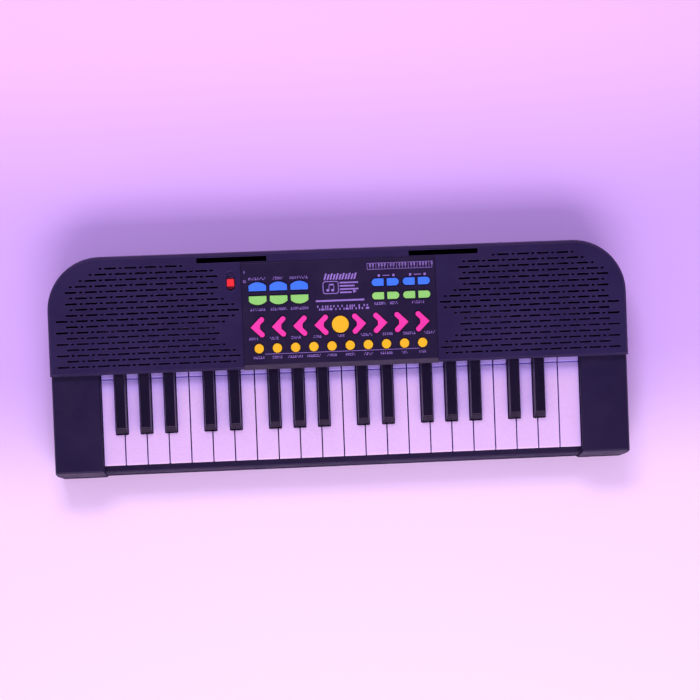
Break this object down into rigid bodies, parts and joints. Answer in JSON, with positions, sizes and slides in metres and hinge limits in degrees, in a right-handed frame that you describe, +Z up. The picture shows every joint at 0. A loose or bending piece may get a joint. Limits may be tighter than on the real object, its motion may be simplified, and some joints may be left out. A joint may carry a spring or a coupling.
{
  "type": "toy electronic keyboard",
  "caption": "Battery toy keyboard with piano keys that press, a coloured push-button panel, a power slide switch and two slotted speaker grilles.",
  "frame": {"origin": "middle of the footprint, on the surface that the rubber feet stand on", "axes": "+X along the keys towards the high notes, +Y from the player to the rear wall, +Z up"},
  "size_m": [0.431, 0.1652, 0.0443],
  "materials": {
    "case": "fine-textured charcoal black ABS",
    "lower_case": "fine-textured black ABS",
    "panel": "satin black ABS with pale printed marks",
    "white_key": "semi-gloss white ABS",
    "black_key": "semi-gloss black ABS",
    "button_blue": "satin blue",
    "button_green": "satin green",
    "button_pink": "satin pink",
    "button_yellow": "satin yellow",
    "knob_red": "gloss red",
    "inner_plastic": "natural ABS",
    "circuit_board": "phenolic board",
    "silicone": "grey silicone rubber",
    "foot_rubber": "matt black rubber",
    "speaker_black": "black paper cone and frame",
    "socket_black": "moulded black",
    "battery_wrap": "wrapped cell",
    "contact_metal": "nickel-plated",
    "switch_metal": "tinned steel can",
    "screw_steel": "zinc-plated"
  },
  "bodies": {
    "case": {"top_case": "case", "bottom_case": "lower_case", "control_panel": "panel", "switch_body": "switch_metal", "main_board": "circuit_board", "button_mat": "silicone", "key_board": "circuit_board", "key_rubber_strip": "silicone", "key_rail": "inner_plastic", "speakers": "speaker_black", "batteries": "battery_wrap", "battery_contacts": "contact_metal", "case_screws": "screw_steel", "rubber_feet": "foot_rubber", "rear_jacks": "socket_black"},
    "blue_buttons": {"blue_buttons": "button_blue"},
    "green_buttons": {"green_buttons": "button_green"},
    "arrow_buttons": {"arrow_buttons": "button_pink"},
    "start_button": {"start_button": "button_yellow"},
    "tone_buttons": {"tone_buttons": "button_yellow"},
    "switch_knob": {"switch_knob": "knob_red"},
    "battery_door": {"battery_door": "lower_case", "door_screw": "screw_steel"},
    "white_key_01": {"white_key_01": "white_key"},
    "white_key_02": {"white_key_02": "white_key"},
    "white_key_03": {"white_key_03": "white_key"},
    "white_key_04": {"white_key_04": "white_key"},
    "white_key_05": {"white_key_05": "white_key"},
    "white_key_06": {"white_key_06": "white_key"},
    "white_key_07": {"white_key_07": "white_key"},
    "white_key_08": {"white_key_08": "white_key"},
    "white_key_09": {"white_key_09": "white_key"},
    "white_key_10": {"white_key_10": "white_key"},
    "white_key_11": {"white_key_11": "white_key"},
    "white_key_12": {"white_key_12": "white_key"},
    "white_key_13": {"white_key_13": "white_key"},
    "white_key_14": {"white_key_14": "white_key"},
    "white_key_15": {"white_key_15": "white_key"},
    "white_key_16": {"white_key_16": "white_key"},
    "white_key_17": {"white_key_17": "white_key"},
    "white_key_18": {"white_key_18": "white_key"},
    "white_key_19": {"white_key_19": "white_key"},
    "white_key_20": {"white_key_20": "white_key"},
    "white_key_21": {"white_key_21": "white_key"},
    "white_key_22": {"white_key_22": "white_key"},
    "black_key_01": {"black_key_01": "black_key"},
    "black_key_02": {"black_key_02": "black_key"},
    "black_key_03": {"black_key_03": "black_key"},
    "black_key_04": {"black_key_04": "black_key"},
    "black_key_05": {"black_key_05": "black_key"},
    "black_key_06": {"black_key_06": "black_key"},
    "black_key_07": {"black_key_07": "black_key"},
    "black_key_08": {"black_key_08": "black_key"},
    "black_key_09": {"black_key_09": "black_key"},
    "black_key_10": {"black_key_10": "black_key"},
    "black_key_11": {"black_key_11": "black_key"},
    "black_key_12": {"black_key_12": "black_key"},
    "black_key_13": {"black_key_13": "black_key"},
    "black_key_14": {"black_key_14": "black_key"},
    "black_key_15": {"black_key_15": "black_key"}
  },
  "joints": [
    {"name": "power_switch", "type": "slide", "parent": "case", "child": "switch_knob", "axis": [0, 1, 0], "range_m": [0, 0.003]},
    {"name": "battery_door_lift", "type": "slide", "parent": "case", "child": "battery_door", "axis": [0, 0, -1], "range_m": [0, 0.03]},
    {"name": "blue_buttons_press", "type": "slide", "parent": "case", "child": "blue_buttons", "axis": [0, 0, -1], "range_m": [0, 0.001], "stiffness_N_per_m": 400, "springref_m": -0.002},
    {"name": "green_buttons_press", "type": "slide", "parent": "case", "child": "green_buttons", "axis": [0, 0, -1], "range_m": [0, 0.001], "stiffness_N_per_m": 400, "springref_m": -0.002},
    {"name": "arrow_buttons_press", "type": "slide", "parent": "case", "child": "arrow_buttons", "axis": [0, 0, -1], "range_m": [0, 0.001], "stiffness_N_per_m": 400, "springref_m": -0.002},
    {"name": "start_button_press", "type": "slide", "parent": "case", "child": "start_button", "axis": [0, 0, -1], "range_m": [0, 0.001], "stiffness_N_per_m": 400, "springref_m": -0.002},
    {"name": "tone_buttons_press", "type": "slide", "parent": "case", "child": "tone_buttons", "axis": [0, 0, -1], "range_m": [0, 0.001], "stiffness_N_per_m": 400, "springref_m": -0.002},
    {"name": "white_key_01_press", "type": "hinge", "parent": "case", "child": "white_key_01", "pos_m": [0, 0.0249, 0.025], "axis": [1, 0, 0], "range_deg": [0, 2], "stiffness_Nm_per_rad": 0.9, "springref_deg": -1.72},
    {"name": "white_key_02_press", "type": "hinge", "parent": "case", "child": "white_key_02", "pos_m": [0, 0.0249, 0.025], "axis": [1, 0, 0], "range_deg": [0, 2], "stiffness_Nm_per_rad": 0.9, "springref_deg": -1.72},
    {"name": "white_key_03_press", "type": "hinge", "parent": "case", "child": "white_key_03", "pos_m": [0, 0.0249, 0.025], "axis": [1, 0, 0], "range_deg": [0, 2], "stiffness_Nm_per_rad": 0.9, "springref_deg": -1.72},
    {"name": "white_key_04_press", "type": "hinge", "parent": "case", "child": "white_key_04", "pos_m": [0, 0.0249, 0.025], "axis": [1, 0, 0], "range_deg": [0, 2], "stiffness_Nm_per_rad": 0.9, "springref_deg": -1.72},
    {"name": "white_key_05_press", "type": "hinge", "parent": "case", "child": "white_key_05", "pos_m": [0, 0.0249, 0.025], "axis": [1, 0, 0], "range_deg": [0, 2], "stiffness_Nm_per_rad": 0.9, "springref_deg": -1.72},
    {"name": "white_key_06_press", "type": "hinge", "parent": "case", "child": "white_key_06", "pos_m": [0, 0.0249, 0.025], "axis": [1, 0, 0], "range_deg": [0, 2], "stiffness_Nm_per_rad": 0.9, "springref_deg": -1.72},
    {"name": "white_key_07_press", "type": "hinge", "parent": "case", "child": "white_key_07", "pos_m": [0, 0.0249, 0.025], "axis": [1, 0, 0], "range_deg": [0, 2], "stiffness_Nm_per_rad": 0.9, "springref_deg": -1.72},
    {"name": "white_key_08_press", "type": "hinge", "parent": "case", "child": "white_key_08", "pos_m": [0, 0.0249, 0.025], "axis": [1, 0, 0], "range_deg": [0, 2], "stiffness_Nm_per_rad": 0.9, "springref_deg": -1.72},
    {"name": "white_key_09_press", "type": "hinge", "parent": "case", "child": "white_key_09", "pos_m": [0, 0.0249, 0.025], "axis": [1, 0, 0], "range_deg": [0, 2], "stiffness_Nm_per_rad": 0.9, "springref_deg": -1.72},
    {"name": "white_key_10_press", "type": "hinge", "parent": "case", "child": "white_key_10", "pos_m": [0, 0.0249, 0.025], "axis": [1, 0, 0], "range_deg": [0, 2], "stiffness_Nm_per_rad": 0.9, "springref_deg": -1.72},
    {"name": "white_key_11_press", "type": "hinge", "parent": "case", "child": "white_key_11", "pos_m": [0, 0.0249, 0.025], "axis": [1, 0, 0], "range_deg": [0, 2], "stiffness_Nm_per_rad": 0.9, "springref_deg": -1.72},
    {"name": "white_key_12_press", "type": "hinge", "parent": "case", "child": "white_key_12", "pos_m": [0, 0.0249, 0.025], "axis": [1, 0, 0], "range_deg": [0, 2], "stiffness_Nm_per_rad": 0.9, "springref_deg": -1.72},
    {"name": "white_key_13_press", "type": "hinge", "parent": "case", "child": "white_key_13", "pos_m": [0, 0.0249, 0.025], "axis": [1, 0, 0], "range_deg": [0, 2], "stiffness_Nm_per_rad": 0.9, "springref_deg": -1.72},
    {"name": "white_key_14_press", "type": "hinge", "parent": "case", "child": "white_key_14", "pos_m": [0, 0.0249, 0.025], "axis": [1, 0, 0], "range_deg": [0, 2], "stiffness_Nm_per_rad": 0.9, "springref_deg": -1.72},
    {"name": "white_key_15_press", "type": "hinge", "parent": "case", "child": "white_key_15", "pos_m": [0, 0.0249, 0.025], "axis": [1, 0, 0], "range_deg": [0, 2], "stiffness_Nm_per_rad": 0.9, "springref_deg": -1.72},
    {"name": "white_key_16_press", "type": "hinge", "parent": "case", "child": "white_key_16", "pos_m": [0, 0.0249, 0.025], "axis": [1, 0, 0], "range_deg": [0, 2], "stiffness_Nm_per_rad": 0.9, "springref_deg": -1.72},
    {"name": "white_key_17_press", "type": "hinge", "parent": "case", "child": "white_key_17", "pos_m": [0, 0.0249, 0.025], "axis": [1, 0, 0], "range_deg": [0, 2], "stiffness_Nm_per_rad": 0.9, "springref_deg": -1.72},
    {"name": "white_key_18_press", "type": "hinge", "parent": "case", "child": "white_key_18", "pos_m": [0, 0.0249, 0.025], "axis": [1, 0, 0], "range_deg": [0, 2], "stiffness_Nm_per_rad": 0.9, "springref_deg": -1.72},
    {"name": "white_key_19_press", "type": "hinge", "parent": "case", "child": "white_key_19", "pos_m": [0, 0.0249, 0.025], "axis": [1, 0, 0], "range_deg": [0, 2], "stiffness_Nm_per_rad": 0.9, "springref_deg": -1.72},
    {"name": "white_key_20_press", "type": "hinge", "parent": "case", "child": "white_key_20", "pos_m": [0, 0.0249, 0.025], "axis": [1, 0, 0], "range_deg": [0, 2], "stiffness_Nm_per_rad": 0.9, "springref_deg": -1.72},
    {"name": "white_key_21_press", "type": "hinge", "parent": "case", "child": "white_key_21", "pos_m": [0, 0.0249, 0.025], "axis": [1, 0, 0], "range_deg": [0, 2], "stiffness_Nm_per_rad": 0.9, "springref_deg": -1.72},
    {"name": "white_key_22_press", "type": "hinge", "parent": "case", "child": "white_key_22", "pos_m": [0, 0.0249, 0.025], "axis": [1, 0, 0], "range_deg": [0, 2], "stiffness_Nm_per_rad": 0.9, "springref_deg": -1.72},
    {"name": "black_key_01_press", "type": "hinge", "parent": "case", "child": "black_key_01", "pos_m": [0, 0.0249, 0.025], "axis": [1, 0, 0], "range_deg": [0, 2.2], "stiffness_Nm_per_rad": 0.9, "springref_deg": -1.72},
    {"name": "black_key_02_press", "type": "hinge", "parent": "case", "child": "black_key_02", "pos_m": [0, 0.0249, 0.025], "axis": [1, 0, 0], "range_deg": [0, 2.2], "stiffness_Nm_per_rad": 0.9, "springref_deg": -1.72},
    {"name": "black_key_03_press", "type": "hinge", "parent": "case", "child": "black_key_03", "pos_m": [0, 0.0249, 0.025], "axis": [1, 0, 0], "range_deg": [0, 2.2], "stiffness_Nm_per_rad": 0.9, "springref_deg": -1.72},
    {"name": "black_key_04_press", "type": "hinge", "parent": "case", "child": "black_key_04", "pos_m": [0, 0.0249, 0.025], "axis": [1, 0, 0], "range_deg": [0, 2.2], "stiffness_Nm_per_rad": 0.9, "springref_deg": -1.72},
    {"name": "black_key_05_press", "type": "hinge", "parent": "case", "child": "black_key_05", "pos_m": [0, 0.0249, 0.025], "axis": [1, 0, 0], "range_deg": [0, 2.2], "stiffness_Nm_per_rad": 0.9, "springref_deg": -1.72},
    {"name": "black_key_06_press", "type": "hinge", "parent": "case", "child": "black_key_06", "pos_m": [0, 0.0249, 0.025], "axis": [1, 0, 0], "range_deg": [0, 2.2], "stiffness_Nm_per_rad": 0.9, "springref_deg": -1.72},
    {"name": "black_key_07_press", "type": "hinge", "parent": "case", "child": "black_key_07", "pos_m": [0, 0.0249, 0.025], "axis": [1, 0, 0], "range_deg": [0, 2.2], "stiffness_Nm_per_rad": 0.9, "springref_deg": -1.72},
    {"name": "black_key_08_press", "type": "hinge", "parent": "case", "child": "black_key_08", "pos_m": [0, 0.0249, 0.025], "axis": [1, 0, 0], "range_deg": [0, 2.2], "stiffness_Nm_per_rad": 0.9, "springref_deg": -1.72},
    {"name": "black_key_09_press", "type": "hinge", "parent": "case", "child": "black_key_09", "pos_m": [0, 0.0249, 0.025], "axis": [1, 0, 0], "range_deg": [0, 2.2], "stiffness_Nm_per_rad": 0.9, "springref_deg": -1.72},
    {"name": "black_key_10_press", "type": "hinge", "parent": "case", "child": "black_key_10", "pos_m": [0, 0.0249, 0.025], "axis": [1, 0, 0], "range_deg": [0, 2.2], "stiffness_Nm_per_rad": 0.9, "springref_deg": -1.72},
    {"name": "black_key_11_press", "type": "hinge", "parent": "case", "child": "black_key_11", "pos_m": [0, 0.0249, 0.025], "axis": [1, 0, 0], "range_deg": [0, 2.2], "stiffness_Nm_per_rad": 0.9, "springref_deg": -1.72},
    {"name": "black_key_12_press", "type": "hinge", "parent": "case", "child": "black_key_12", "pos_m": [0, 0.0249, 0.025], "axis": [1, 0, 0], "range_deg": [0, 2.2], "stiffness_Nm_per_rad": 0.9, "springref_deg": -1.72},
    {"name": "black_key_13_press", "type": "hinge", "parent": "case", "child": "black_key_13", "pos_m": [0, 0.0249, 0.025], "axis": [1, 0, 0], "range_deg": [0, 2.2], "stiffness_Nm_per_rad": 0.9, "springref_deg": -1.72},
    {"name": "black_key_14_press", "type": "hinge", "parent": "case", "child": "black_key_14", "pos_m": [0, 0.0249, 0.025], "axis": [1, 0, 0], "range_deg": [0, 2.2], "stiffness_Nm_per_rad": 0.9, "springref_deg": -1.72},
    {"name": "black_key_15_press", "type": "hinge", "parent": "case", "child": "black_key_15", "pos_m": [0, 0.0249, 0.025], "axis": [1, 0, 0], "range_deg": [0, 2.2], "stiffness_Nm_per_rad": 0.9, "springref_deg": -1.72}
  ]
}
